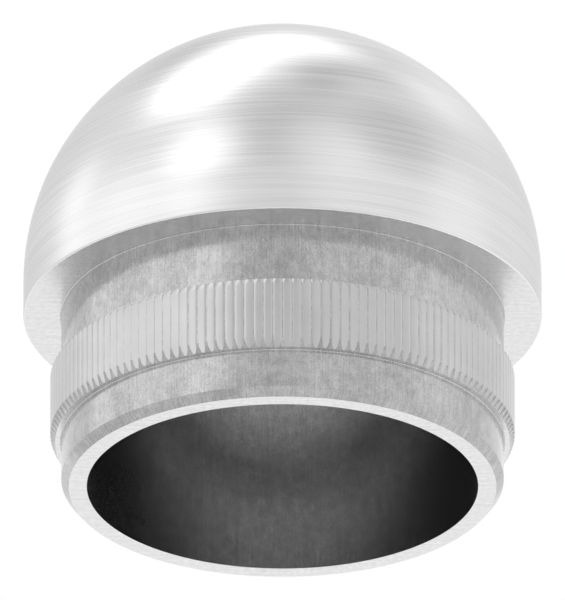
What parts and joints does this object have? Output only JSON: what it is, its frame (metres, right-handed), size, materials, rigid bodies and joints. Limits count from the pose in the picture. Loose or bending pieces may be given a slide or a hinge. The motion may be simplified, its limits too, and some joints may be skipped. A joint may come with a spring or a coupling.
{
  "type": "tube end cap",
  "caption": "Domed end cap for a round handrail tube: hollow half ball on a spigot with a straight-knurled grip band, open underneath, satin stainless steel.",
  "frame": {"origin": "centre of the rim's flat face, at the open end", "axes": "+Z along the cap's axis, from the open rim to the top of the dome; a ridge of the knurl points along -Y"},
  "size_m": [0.0424, 0.0424, 0.0396],
  "materials": {
    "satin_steel": "satin stainless steel, brushed round the axis on the dome, plainer and finely scored on the spigot"
  },
  "bodies": {
    "root": {"end_cap": "satin_steel"}
  },
  "joints": []
}
